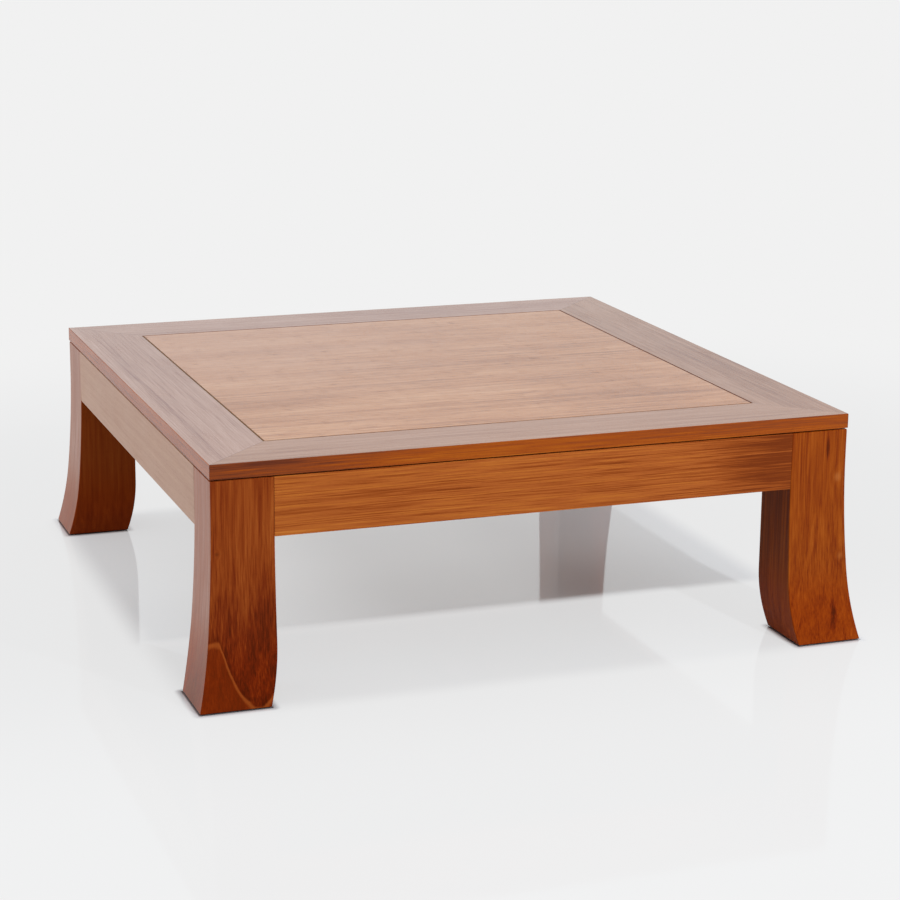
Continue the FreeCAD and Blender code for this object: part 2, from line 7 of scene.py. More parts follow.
import bpy
import mathutils
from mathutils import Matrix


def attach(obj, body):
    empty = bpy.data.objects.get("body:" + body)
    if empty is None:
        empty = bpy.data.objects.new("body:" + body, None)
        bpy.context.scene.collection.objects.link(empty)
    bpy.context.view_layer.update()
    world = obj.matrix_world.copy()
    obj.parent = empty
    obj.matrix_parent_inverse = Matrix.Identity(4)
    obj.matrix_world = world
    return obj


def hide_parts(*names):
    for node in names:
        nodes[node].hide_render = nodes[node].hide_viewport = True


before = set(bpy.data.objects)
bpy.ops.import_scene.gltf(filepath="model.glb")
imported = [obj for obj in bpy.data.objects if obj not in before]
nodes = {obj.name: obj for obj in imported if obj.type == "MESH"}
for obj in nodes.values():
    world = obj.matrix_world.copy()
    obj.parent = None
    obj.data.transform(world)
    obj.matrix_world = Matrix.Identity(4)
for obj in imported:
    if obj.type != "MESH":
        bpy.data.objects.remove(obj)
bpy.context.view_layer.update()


# Four legs: each is sawn from one square post of solid teak, straight behind the apron and swept
# outwards below it on both outer faces. Its arrises are eased, those round the foot too, and it
# takes the aprons' tenons and a bolt from the corner block.
LEG = {
    "Head Height": 0.3327,
    "Foot Height": 0.001,
    "Outer Face": 0.4995,
    "Inner Face": 0.4065,
    "Sweep Start": 0.2904,
    "Sweep Turn": 0.110,
    "Upper Radius": 2.2,
    "Lower Radius": 0.64,
    "Heel Start": 0.095,
    "Heel Radius": 0.33,
}
LEG_ARRIS = 0.0016
GRAIN_ALONG_X = (0.0, 0.0, 0.0)
GRAIN_ALONG_Y = (0.0, 0.0, math.radians(-90))
GRAIN_ALONG_Z = (0.0, math.radians(90), 0.0)
CORNERS = ("front_left", "front_right", "back_right", "back_left")


def linear(hex_colour):
    """An sRGB hex colour as the linear RGBA that a shader socket takes."""
    channels = [int(hex_colour[place:place + 2], 16) / 255 for place in (1, 3, 5)]
    return [c / 12.92 if c <= 0.04045 else ((c + 0.055) / 1.055) ** 2.4 for c in channels] + [1.0]


def add(tree, kind, settings=None, links=None, stops=()):
    """Add a node with its settings, and fill its sockets with values or with what other nodes give."""
    item = tree.nodes.new(kind)
    for name, value in (settings or {}).items():
        setattr(item, name, value)
    if stops:
        ramp = item.color_ramp
        while len(ramp.elements) < len(stops):
            ramp.elements.new(1.0)
        for element, (position, colour) in zip(ramp.elements, stops):
            element.position = position
            element.color = colour
    sockets = [socket for socket in item.inputs if socket.enabled]
    for key, value in (links or {}).items():
        socket = sockets[key] if isinstance(key, int) else next(s for s in sockets if s.name == key)
        if isinstance(value, bpy.types.Node):
            value = next(output for output in value.outputs if output.enabled)
        if isinstance(value, bpy.types.NodeSocket):
            tree.links.new(value, socket)
        else:
            socket.default_value = value
    return item


def blank_material(name):
    """A new material's tree, its principled shader and its Object coordinates."""
    material = bpy.data.materials.new(name)
    material.use_nodes = True
    tree = material.node_tree
    shader = tree.nodes["Principled BSDF"]
    place = add(tree, "ShaderNodeTexCoord").outputs["Object"]
    return material, tree, shader, place


def stretched_noise(tree, place, per_metre, detail, roughness=0.5):
    """Noise with this many cells in a metre along each axis."""
    stretched = add(tree, "ShaderNodeMapping", {}, {"Vector": place, "Scale": per_metre})
    return add(tree, "ShaderNodeTexNoise", {}, {
        "Vector": stretched, "Scale": 1.0, "Detail": detail, "Roughness": roughness})


def spot_mask(tree, place, centre, reach):
    """1 at the centre of an egg-shaped place in the wood, falling softly to 0 at its reach."""
    local = add(tree, "ShaderNodeMapping", {"vector_type": "TEXTURE"},
                {"Vector": place, "Location": centre, "Scale": reach})
    distance = add(tree, "ShaderNodeVectorMath", {"operation": "LENGTH"}, {0: local}).outputs["Value"]
    return add(tree, "ShaderNodeMapRange", {"interpolation_type": "SMOOTHERSTEP"},
               {"Value": distance, "From Min": 0.0, "From Max": 1.0, "To Min": 1.0, "To Max": 0.0})


# The sapwood's edge is a parabola: its lowest place, how fast it climbs, and where it levels off.
SAPWOOD_LOWEST_X = -0.438
SAPWOOD_LOWEST = 0.005
SAPWOOD_CLIMB = 33.6
SAPWOOD_HIGHEST = 0.100


def with_sapwood(tree, place, colour, shades):
    """Paler outer wood below a curved edge on a leg's front, bright at its rim, dark just above."""
    spot = add(tree, "ShaderNodeSeparateXYZ", {}, {0: place}).outputs
    off = add(tree, "ShaderNodeMath", {}, {0: spot["X"], 1: -SAPWOOD_LOWEST_X})
    square = add(tree, "ShaderNodeMath", {"operation": "MULTIPLY"}, {0: off, 1: off})
    edge = add(tree, "ShaderNodeMath", {"operation": "MULTIPLY_ADD"}, {
        0: square, 1: SAPWOOD_CLIMB, 2: SAPWOOD_LOWEST})
    edge = add(tree, "ShaderNodeMath", {"operation": "SMOOTH_MIN"}, {
        0: edge, 1: SAPWOOD_HIGHEST, 2: 0.01})
    wobble = add(tree, "ShaderNodeTexNoise", {}, {"Vector": place, "Scale": 45.0, "Detail": 3.0})
    above = add(tree, "ShaderNodeMath", {"operation": "SUBTRACT"}, {0: spot["Z"], 1: edge})
    above = add(tree, "ShaderNodeMath", {"operation": "MULTIPLY_ADD"}, {0: wobble, 1: 0.014, 2: above})
    normal = add(tree, "ShaderNodeNewGeometry").outputs["Normal"]
    facing = add(tree, "ShaderNodeSeparateXYZ", {}, {0: normal})
    front = add(tree, "ShaderNodeMapRange", {"interpolation_type": "SMOOTHSTEP"}, {
        "Value": facing.outputs["Y"], "From Min": -0.85, "From Max": -0.6, "To Min": 1.0, "To Max": 0.0})
    body, rim = shades
    # Each layer fades out between two heights above the edge, and has an amount and a shade.
    for low, high, amount, shade, blend in (
        (0.006, 0.024, 0.45, "#8A4632", "MULTIPLY"),
        (0.003, 0.010, 0.32, body, "MIX"),
        (0.004, 0.008, 0.34, rim, "MIX"),
    ):
        mask = add(tree, "ShaderNodeMapRange", {"interpolation_type": "SMOOTHSTEP"}, {
            "Value": above, "From Min": low, "From Max": high, "To Min": amount, "To Max": 0.0})
        if shade == rim:
            inside = add(tree, "ShaderNodeMapRange", {"interpolation_type": "SMOOTHSTEP"}, {
                "Value": above, "From Min": -0.005, "From Max": 0.002})
            mask = add(tree, "ShaderNodeMath", {"operation": "MULTIPLY"}, {0: mask, 1: inside})
        mask = add(tree, "ShaderNodeMath", {"operation": "MULTIPLY"}, {0: mask, 1: front})
        colour = add(tree, "ShaderNodeMix", {"data_type": "RGBA", "blend_type": blend}, {
            "Factor": mask, "A": colour, "B": linear(shade)})
    return colour


# The joint round the panel is a square, this far from the table's middle on each side.
PANEL_JOINT = 0.3913


def with_seams(tree, place, colour):
    """Painted shade in the open joint round the panel, and a finer dark line along each mitre."""
    flat = add(tree, "ShaderNodeVectorMath", {"operation": "ABSOLUTE"}, {0: place})
    side = add(tree, "ShaderNodeSeparateXYZ", {}, {0: flat}).outputs
    reach = add(tree, "ShaderNodeMath", {"operation": "MAXIMUM"}, {0: side["X"], 1: side["Y"]})
    off_seam = add(tree, "ShaderNodeMath", {"operation": "SUBTRACT"}, {0: reach, 1: PANEL_JOINT})
    off_seam = add(tree, "ShaderNodeMath", {"operation": "ABSOLUTE"}, {0: off_seam})
    groove_shade = add(tree, "ShaderNodeMapRange", {"interpolation_type": "SMOOTHSTEP"}, {
        "Value": off_seam, "From Min": 0.0006, "From Max": 0.0022, "To Min": 0.85, "To Max": 0.0})
    colour = add(tree, "ShaderNodeMix", {"data_type": "RGBA"}, {
        "Factor": groove_shade, "A": colour, "B": linear("#3A1A0C")})
    off_mitre = add(tree, "ShaderNodeMath", {"operation": "SUBTRACT"}, {0: side["X"], 1: side["Y"]})
    off_mitre = add(tree, "ShaderNodeMath", {"operation": "ABSOLUTE"}, {0: off_mitre})
    mitre = add(tree, "ShaderNodeMapRange", {"interpolation_type": "SMOOTHSTEP"}, {
        "Value": off_mitre, "From Min": 0.0002, "From Max": 0.0014, "To Min": 0.5, "To Max": 0.0})
    beyond = add(tree, "ShaderNodeMath", {"operation": "GREATER_THAN"}, {0: reach, 1: PANEL_JOINT})
    mitre = add(tree, "ShaderNodeMath", {"operation": "MULTIPLY"}, {0: mitre, 1: beyond})
    return add(tree, "ShaderNodeMix", {"data_type": "RGBA"}, {
        "Factor": mitre, "A": colour, "B": linear("#4A2614")})


def teak(name, grain, heart, palette, ring=0.009, sway=0.02, contrast=1.0, roughness=0.27,
         sheen_top_palette=None, knots=(), stains=(), seams=False, sapwood=None, ior=1.5,
         fineness=1.0, hairs=0.0, left_face_painted_light=None, pore_size=1.0, foot_shade=None):
    """Stained teak heartwood under satin lacquer, as one board sawn from its own place in a log.

    The growth rings are sleeves round the log's heart, so each face of the board shows what a cut
    there would: straight lines at the edges and long arches in the middle. Brown streaks and fine
    fibres run along the grain, and open pores show as short dark dashes. A knot is a centre, a reach
    and a shade, and a stain is a centre, a reach and how much lighter it makes the wood.
    """
    material, tree, shader, place = blank_material(name)
    normal = add(tree, "ShaderNodeNewGeometry").outputs["Normal"]
    turned = add(tree, "ShaderNodeMapping", {}, {
        "Vector": place, "Rotation": grain, "Location": [-value for value in heart]})
    # Long bends of the stem, and smaller waves, push the rings aside by millimetres.
    bend = stretched_noise(tree, turned, (1.3, 4.0, 4.0), 2.0)
    ripple = stretched_noise(tree, turned, (9.0, 26.0, 26.0), 2.0)
    across = add(tree, "ShaderNodeVectorMath", {"operation": "MULTIPLY"}, {0: turned, 1: (0, 1, 1)})
    radius = add(tree, "ShaderNodeVectorMath", {"operation": "LENGTH"}, {0: across}).outputs["Value"]
    radius = add(tree, "ShaderNodeMath", {"operation": "MULTIPLY_ADD"}, {0: bend, 1: sway, 2: radius})
    radius = add(tree, "ShaderNodeMath", {"operation": "MULTIPLY_ADD"}, {0: ripple, 1: 0.006, 2: radius})
    # The rings flow round a knot.
    for centre, reach, _ in knots:
        swell = spot_mask(tree, place, centre, [length * 2.2 for length in reach])
        radius = add(tree, "ShaderNodeMath", {"operation": "MULTIPLY_ADD"}, {
            0: swell, 1: 0.004, 2: radius})
    # Rings of uneven width and darkness, with finer lines inside each.
    count = add(tree, "ShaderNodeMath", {"operation": "DIVIDE"}, {0: radius, 1: ring})
    rings = add(tree, "ShaderNodeTexNoise", {"noise_dimensions": "1D"}, {
        "W": count, "Scale": 1.0, "Detail": 5.0, "Roughness": 0.7})
    # Streaks 7 mm across and 30 cm long at a fineness of 1, and fibres drawn at 2.4 mm across and
    # 50 mm long, because real ones of 0.3 mm are too fine for a picture of the whole table.
    streak_cells = (2.0 + fineness, 140.0 * fineness, 140.0 * fineness)
    streaks = stretched_noise(tree, turned, streak_cells, 4.0, 0.65)
    fibres = stretched_noise(tree, turned, (20.0, 420.0, 420.0), 1.0)
    patches = stretched_noise(tree, turned, (2.2, 14.0, 14.0), 1.0)
    # Each noise is 0.5 on average, so half the weights' sum comes off and the middle tone is 0.5.
    tone = add(tree, "ShaderNodeMath", {"operation": "MULTIPLY_ADD"}, {
        0: rings, 1: 0.55 * contrast, 2: 0.5 - 1.2 * contrast})
    for noise, weight in ((streaks, 0.85), (fibres, 0.45), (patches, 0.55)):
        tone = add(tree, "ShaderNodeMath", {"operation": "MULTIPLY_ADD"}, {
            0: noise, 1: weight * contrast, 2: tone})
    if hairs:
        # Rows of cut pores show as hairlines, drawn 1.6 mm apart and 12 cm long so that they show.
        hair = stretched_noise(tree, turned, (8.0, 620.0, 620.0), 2.0)
        hair = add(tree, "ShaderNodeMath", {"operation": "SUBTRACT"}, {0: hair, 1: 0.5})
        tone = add(tree, "ShaderNodeMath", {"operation": "MULTIPLY_ADD"}, {0: hair, 1: hairs, 2: tone})
    for centre, reach, shade in stains:
        stain = spot_mask(tree, place, centre, reach)
        tone = add(tree, "ShaderNodeMath", {"operation": "MULTIPLY_ADD"}, {0: stain, 1: shade, 2: tone})
    last = len(palette) - 1
    colour = add(tree, "ShaderNodeValToRGB", {}, {"Fac": tone},
                 [(step / last, linear(shade)) for step, shade in enumerate(palette)])
    # The faces that look up are paler than the edges, as the photograph shows them.
    # Painted sheen: the paler colour of these faces stands in for the lacquer's glare on them.
    if sheen_top_palette:
        pale = add(tree, "ShaderNodeValToRGB", {}, {"Fac": tone},
                   [(step / last, linear(shade)) for step, shade in enumerate(sheen_top_palette)])
        facing = add(tree, "ShaderNodeSeparateXYZ", {}, {0: normal})
        upward = add(tree, "ShaderNodeMapRange", {"interpolation_type": "SMOOTHSTEP"}, {
            "Value": facing.outputs["Z"], "From Min": 0.75, "From Max": 0.97})
        colour = add(tree, "ShaderNodeMix", {"data_type": "RGBA"}, {
            "Factor": upward, "A": colour, "B": pale})
    for centre, reach, shade in knots:
        knot = spot_mask(tree, place, centre, reach)
        knot = add(tree, "ShaderNodeMath", {"operation": "MULTIPLY"}, {0: knot, 1: 0.45})
        colour = add(tree, "ShaderNodeMix", {"data_type": "RGBA"}, {
            "Factor": knot, "A": colour, "B": linear(shade)})
    # The face that looks left has a colour of its own, in place of the glare or the shade that the
    # photograph shows there: the colour, how much of it, and how much duller the lacquer is.
    if left_face_painted_light:
        shade, amount, dullness = left_face_painted_light
        facing = add(tree, "ShaderNodeSeparateXYZ", {}, {0: normal})
        leftward = add(tree, "ShaderNodeMapRange", {"interpolation_type": "SMOOTHSTEP"}, {
            "Value": facing.outputs["X"], "From Min": -0.9, "From Max": -0.6, "To Min": 1.0, "To Max": 0.0})
        part = add(tree, "ShaderNodeMapRange", {"interpolation_type": "SMOOTHSTEP"}, {
            "Value": add(tree, "ShaderNodeSeparateXYZ", {}, {0: place}).outputs["Z"],
            "From Min": 0.03, "From Max": 0.17, "To Min": amount * 0.4, "To Max": amount})
        part = add(tree, "ShaderNodeMath", {"operation": "MULTIPLY"}, {0: leftward, 1: part})
        uneven = add(tree, "ShaderNodeMapRange", {}, {
            "Value": streaks, "From Min": 0.38, "From Max": 0.62, "To Min": 1.45, "To Max": 0.55})
        part = add(tree, "ShaderNodeMath", {"operation": "MULTIPLY"}, {0: part, 1: uneven})
        colour = add(tree, "ShaderNodeMix", {"data_type": "RGBA"}, {
            "Factor": part, "A": colour, "B": linear(shade)})
    # The wood is redder for some centimetres above the floor, perhaps because a foot's end grain
    # drinks more stain.
    if foot_shade:
        soaked = add(tree, "ShaderNodeMapRange", {"interpolation_type": "SMOOTHSTEP"}, {
            "Value": add(tree, "ShaderNodeSeparateXYZ", {}, {0: place}).outputs["Z"],
            "From Min": 0.04, "From Max": 0.15, "To Min": 1.0, "To Max": 0.0})
        colour = add(tree, "ShaderNodeMix", {"data_type": "RGBA", "blend_type": "MULTIPLY"}, {
            "Factor": soaked, "A": colour, "B": linear(foot_shade)})
    if sapwood:
        colour = with_sapwood(tree, place, colour, sapwood)
    if seams:
        colour = with_seams(tree, place, colour)
    # Teak's pores are 0.3 mm across and some 6 mm long where a face cuts them. They are drawn at
    # 0.6 mm across and 11 mm long, times pore_size, because they would not show otherwise.
    pore_cells = [per_metre / pore_size for per_metre in (90.0, 1700.0, 1700.0)]
    pores = stretched_noise(tree, turned, pore_cells, 0.0)
    pore = add(tree, "ShaderNodeMapRange", {"interpolation_type": "SMOOTHSTEP"}, {
        "Value": pores, "From Min": 0.64, "From Max": 0.78, "To Min": 0.0, "To Max": 0.25 * pore_size})
    colour = add(tree, "ShaderNodeMix", {"data_type": "RGBA", "blend_type": "MULTIPLY"}, {
        "Factor": pore, "A": colour, "B": linear("#8A6A58")})
    # Lacquer thins over the open pores and was rubbed down in wide soft patches.
    rubbed = add(tree, "ShaderNodeTexNoise", {}, {"Vector": place, "Scale": 14.0, "Detail": 3.0})
    gloss = add(tree, "ShaderNodeMath", {"operation": "MULTIPLY_ADD"}, {
        0: rubbed, 1: 0.10, 2: roughness - 0.05})
    gloss = add(tree, "ShaderNodeMath", {"operation": "MULTIPLY_ADD"}, {0: pore, 1: 0.15, 2: gloss})
    if left_face_painted_light:
        gloss = add(tree, "ShaderNodeMath", {"operation": "MULTIPLY_ADD"}, {
            0: leftward, 1: dullness, 2: gloss})
    # The arrises are rubbed smooth and dull: there the surface looks along none of the three axes.
    facing = add(tree, "ShaderNodeVectorMath", {"operation": "ABSOLUTE"}, {0: normal})
    facing = add(tree, "ShaderNodeSeparateXYZ", {}, {0: facing}).outputs
    squarely = add(tree, "ShaderNodeMath", {"operation": "MAXIMUM"}, {0: facing["X"], 1: facing["Y"]})
    squarely = add(tree, "ShaderNodeMath", {"operation": "MAXIMUM"}, {0: squarely, 1: facing["Z"]})
    worn = add(tree, "ShaderNodeMapRange", {"interpolation_type": "SMOOTHSTEP"}, {
        "Value": squarely, "From Min": 0.88, "From Max": 0.96, "To Min": 1.0, "To Max": 0.0})
    gloss = add(tree, "ShaderNodeMath", {"operation": "MULTIPLY_ADD"}, {0: worn, 1: 0.35, 2: gloss})
    dip = add(tree, "ShaderNodeMath", {"operation": "MULTIPLY_ADD"}, {0: fibres, 1: 0.25, 2: pore})
    relief = add(tree, "ShaderNodeMath", {"operation": "MULTIPLY_ADD"}, {0: worn, 1: -0.5, 2: 0.5})
    bump = add(tree, "ShaderNodeBump", {"invert": True}, {
        "Height": dip, "Distance": 0.00012, "Strength": relief})
    tree.links.new(next(output for output in colour.outputs if output.enabled), shader.inputs["Base Color"])
    tree.links.new(gloss.outputs[0], shader.inputs["Roughness"])
    tree.links.new(bump.outputs[0], shader.inputs["Normal"])
    shader.inputs["IOR"].default_value = ior
    # The lacquer is amber, and tints what it mirrors.
    shader.inputs["Specular Tint"].default_value = linear("#C46A34")
    return material


def named_inputs(tree, sockets):
    """Give a Geometry Nodes tree its named inputs, and return the node that hands them out."""
    for name, value in sockets.items():
        if isinstance(value, bpy.types.Material):
            kind = "NodeSocketMaterial"
        elif isinstance(value, int):
            kind = "NodeSocketInt"
        else:
            kind = "NodeSocketFloat"
        socket = tree.interface.new_socket(name, in_out="INPUT", socket_type=kind)
        socket.default_value = value
    return add(tree, "NodeGroupInput")


def arc_group():
    """How far out an arc reaches at a height, for an arc that bulges towards the table's middle."""
    tree = bpy.data.node_groups.new("arc_reach", "GeometryNodeTree")
    given = named_inputs(tree, {"Height": 0.0, "Centre Height": 0.0, "Centre Reach": 0.0, "Radius": 1.0})
    tree.interface.new_socket("Reach", in_out="OUTPUT", socket_type="NodeSocketFloat")
    rise = add(tree, "ShaderNodeMath", {"operation": "SUBTRACT"}, {
        0: given.outputs["Height"], 1: given.outputs["Centre Height"]})
    rise = add(tree, "ShaderNodeMath", {"operation": "MULTIPLY"}, {0: rise, 1: rise})
    span = add(tree, "ShaderNodeMath", {"operation": "MULTIPLY"}, {
        0: given.outputs["Radius"], 1: given.outputs["Radius"]})
    span = add(tree, "ShaderNodeMath", {"operation": "SUBTRACT"}, {0: span, 1: rise})
    span = add(tree, "ShaderNodeMath", {"operation": "SQRT"}, {0: span})
    reach = add(tree, "ShaderNodeMath", {"operation": "SUBTRACT"}, {
        0: given.outputs["Centre Reach"], 1: span})
    add(tree, "NodeGroupOutput", {}, {0: reach})
    return tree


def leg_tree(wood):
    """A swept leg: a square post whose faces follow the outer sweep and the heel's arc."""
    tree = bpy.data.node_groups.new("swept_leg", "GeometryNodeTree")
    given = named_inputs(tree, dict(LEG, **{"Quarter Turns": 0, "Wood": wood})).outputs
    tree.interface.new_socket("Leg", in_out="OUTPUT", socket_type="NodeSocketGeometry")
    arc = arc_group()
    post = add(tree, "GeometryNodeMeshCube", {}, {
        "Size": (1.0, 1.0, 1.0), "Vertices X": 2, "Vertices Y": 2, "Vertices Z": 66}).outputs["Mesh"]
    spot = add(tree, "ShaderNodeSeparateXYZ", {}, {0: add(tree, "GeometryNodeInputPosition")})
    height = add(tree, "ShaderNodeMapRange", {}, {
        "Value": spot.outputs["Z"], "From Min": -0.5, "From Max": 0.5,
        "To Min": given["Foot Height"], "To Max": given["Head Height"]})
    # The upper arc starts where the outer face leaves the vertical.
    upper_height = add(tree, "ShaderNodeMath", {"operation": "MINIMUM"}, {
        0: height, 1: given["Sweep Start"]})
    upper_centre = add(tree, "ShaderNodeMath", {}, {0: given["Outer Face"], 1: given["Upper Radius"]})
    upper = add(tree, "GeometryNodeGroup", {"node_tree": arc}, {
        "Height": upper_height, "Centre Height": given["Sweep Start"],
        "Centre Reach": upper_centre, "Radius": given["Upper Radius"]})
    # The lower arc takes over at the turn, along the same direction.
    turn = add(tree, "GeometryNodeGroup", {"node_tree": arc}, {
        "Height": given["Sweep Turn"], "Centre Height": given["Sweep Start"],
        "Centre Reach": upper_centre, "Radius": given["Upper Radius"]})
    share = add(tree, "ShaderNodeMath", {"operation": "DIVIDE"}, {
        0: given["Lower Radius"], 1: given["Upper Radius"]})
    back = add(tree, "ShaderNodeMath", {"operation": "SUBTRACT"}, {0: upper_centre, 1: turn})
    centre_reach = add(tree, "ShaderNodeMath", {"operation": "MULTIPLY_ADD"}, {0: back, 1: share, 2: turn})
    rise = add(tree, "ShaderNodeMath", {"operation": "SUBTRACT"}, {
        0: given["Sweep Start"], 1: given["Sweep Turn"]})
    centre_height = add(tree, "ShaderNodeMath", {"operation": "MULTIPLY_ADD"}, {
        0: rise, 1: share, 2: given["Sweep Turn"]})
    lower = add(tree, "GeometryNodeGroup", {"node_tree": arc}, {
        "Height": height, "Centre Height": centre_height, "Centre Reach": centre_reach,
        "Radius": given["Lower Radius"]})
    below = add(tree, "ShaderNodeMath", {"operation": "LESS_THAN"}, {0: height, 1: given["Sweep Turn"]})
    outer = add(tree, "ShaderNodeMix", {"data_type": "FLOAT"}, {"Factor": below, "A": upper, "B": lower})
    heel_height = add(tree, "ShaderNodeMath", {"operation": "MINIMUM"}, {0: height, 1: given["Heel Start"]})
    heel_centre = add(tree, "ShaderNodeMath", {}, {0: given["Inner Face"], 1: given["Heel Radius"]})
    inner = add(tree, "GeometryNodeGroup", {"node_tree": arc}, {
        "Height": heel_height, "Centre Height": given["Heel Start"],
        "Centre Reach": heel_centre, "Radius": given["Heel Radius"]})
    sides = [
        add(tree, "ShaderNodeMapRange", {"clamp": False}, {
            "Value": spot.outputs[axis], "From Min": 0.5, "From Max": -0.5,
            "To Min": inner, "To Max": outer})
        for axis in ("X", "Y")
    ]
    sides = [add(tree, "ShaderNodeMath", {"operation": "MULTIPLY"}, {0: side, 1: -1.0}) for side in sides]
    place = add(tree, "ShaderNodeCombineXYZ", {}, {"X": sides[0], "Y": sides[1], "Z": height})
    swept = add(tree, "GeometryNodeSetPosition", {}, {"Geometry": post, "Position": place})
    angle = add(tree, "ShaderNodeMath", {"operation": "MULTIPLY"}, {
        0: given["Quarter Turns"], 1: math.radians(90)})
    turned = add(tree, "GeometryNodeTransform", {}, {
        "Geometry": swept, "Rotation": add(tree, "ShaderNodeCombineXYZ", {}, {"Z": angle})})
    whole = add(tree, "GeometryNodeRealizeInstances", {}, {"Geometry": turned})
    finished = add(tree, "GeometryNodeSetMaterial", {}, {"Geometry": whole, "Material": given["Wood"]})
    add(tree, "NodeGroupOutput", {}, {0: finished})
    return tree


def made_by_nodes(name, tree, values):
    """Run a Geometry Nodes tree with these values for its inputs, and keep the plain mesh."""
    piece = bpy.data.objects.new(name, bpy.data.meshes.new(name))
    bpy.context.scene.collection.objects.link(piece)
    maker = piece.modifiers.new("maker", "NODES")
    maker.node_group = tree
    for socket in tree.interface.items_tree:
        if socket.in_out == "INPUT" and socket.name in values:
            maker[socket.identifier] = values[socket.name]
    evaluated = piece.evaluated_get(bpy.context.evaluated_depsgraph_get())
    mesh = bpy.data.meshes.new_from_object(evaluated)
    piece.modifiers.clear()
    piece.data = mesh
    return piece


LEG_RED = ("#4A1506", "#6A230A", "#823812", "#94481B", "#A85E28")
LEG_ORANGE = ("#4E1804", "#742A08", "#8E400C", "#9E4E14", "#B26220")
# Each leg comes from its own place in a log, and has such marks as the photograph shows on it.
LEG_MARKS = {
    "front_left": {
        "heart": (0.2, -0.62, 0.40), "palette": LEG_RED, "hairs": 0.8,
        "left_face_painted_light": ("#B08878", 0.52, 0.0), "foot_shade": "#F8CE9A",
        "sapwood": ("#8A3006", "#C0662A"),
        "knots": (((-0.491, -0.4995, 0.227), (0.005, 0.02, 0.005), "#3A1006"),),
        "stains": (((-0.455, -0.51, 0.05), (0.13, 0.12, 0.22), -0.42),
                   # The second stain, low on the left face where the foot turns down to the floor, is
                   # painted shade.
                   ((-0.53, -0.46, 0.04), (0.03, 0.08, 0.15), -0.35),
                   ((-0.412, -0.4995, 0.25), (0.020, 0.05, 0.14), 0.22))},
    "front_right": {
        "heart": (1.3, -0.60, -0.46), "palette": LEG_ORANGE, "hairs": 0.8,
        # Its left face looks in under the table, and its dark colour there is painted shade.
        "left_face_painted_light": ("#4A1A08", 0.5, 0.22), "foot_shade": "#F6D696",
        "stains": (((0.482, -0.515, 0.040), (0.010, 0.04, 0.045), -0.5),
                   ((0.468, -0.4995, 0.305), (0.005, 0.03, 0.028), -0.45)),
        "knots": (((0.487, -0.4975, 0.2585), (0.010, 0.02, 0.012), "#B87038"),
                  ((0.4945, -0.503, 0.133), (0.008, 0.02, 0.010), "#B06630"))},
    "back_right": {
        "heart": (2.1, 0.40, -0.60), "palette": LEG_ORANGE, "foot_shade": "#F6D696"},
    "back_left": {
        "heart": (3.4, 0.38, 0.62), "palette": LEG_RED, "contrast": 0.7,
        "left_face_painted_light": ("#B49080", 0.55, 0.0), "foot_shade": "#F8D6A8"},
}
LEG_WOODS = {
    corner: teak("stained_teak_leg_" + corner, GRAIN_ALONG_Z, roughness=0.40, ior=1.62, **marks)
    for corner, marks in LEG_MARKS.items()
}
sweep = leg_tree(LEG_WOODS["front_left"])
for turns, corner in enumerate(CORNERS):
    leg = made_by_nodes("swept_leg_" + corner, sweep, {"Quarter Turns": turns, "Wood": LEG_WOODS[corner]})
    leg.data.shade_smooth()
    arris = leg.modifiers.new("eased_arris", "BEVEL")
    arris.width = LEG_ARRIS
    arris.segments = 3
    arris.limit_method = "ANGLE"
    arris.angle_limit = math.radians(40)
    arris.harden_normals = True
    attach(leg, "root")
    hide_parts("leg_" + corner)


# Four aprons: solid teak boards on edge, tenoned into the legs flush with their outer faces. They
# are stained and lacquered like the legs, a little paler, with the grain along the board.
APRON_COLOURS = ("#6E2E0E", "#8F4518", "#A75927", "#B36628", "#C67A38")
# The left apron is paler and calmer, in place of the glare that the photograph shows on it.
APRON_PALE = ("#90664F", "#A2785F", "#AE876F", "#B69179", "#C09D86")


def dress(names, material):
    """Give one material to every slot of these CAD nodes."""
    for name in names:
        for slot in nodes[name].material_slots:
            slot.material = material


for side, grain, heart in (
    ("front", GRAIN_ALONG_X, (0.3, -0.43, 0.20)),
    ("right", GRAIN_ALONG_Y, (0.9, -0.43, 0.37)),
    ("back", GRAIN_ALONG_X, (1.7, 0.43, 0.22)),
    ("left", GRAIN_ALONG_Y, (2.5, 0.43, 0.20)),
):
    wood = teak("stained_teak_apron_" + side, grain, heart,
                APRON_PALE if side == "left" else APRON_COLOURS, roughness=0.38, ior=1.62,
                hairs=0.5 if side == "left" else 1.6,
                contrast=0.6 if side == "left" else 0.8,
                stains=(((0.44, -0.5, 0.29), (0.26, 0.1, 0.20), -0.5),) if side == "front" else ())
    dress(["apron_" + side], wood)


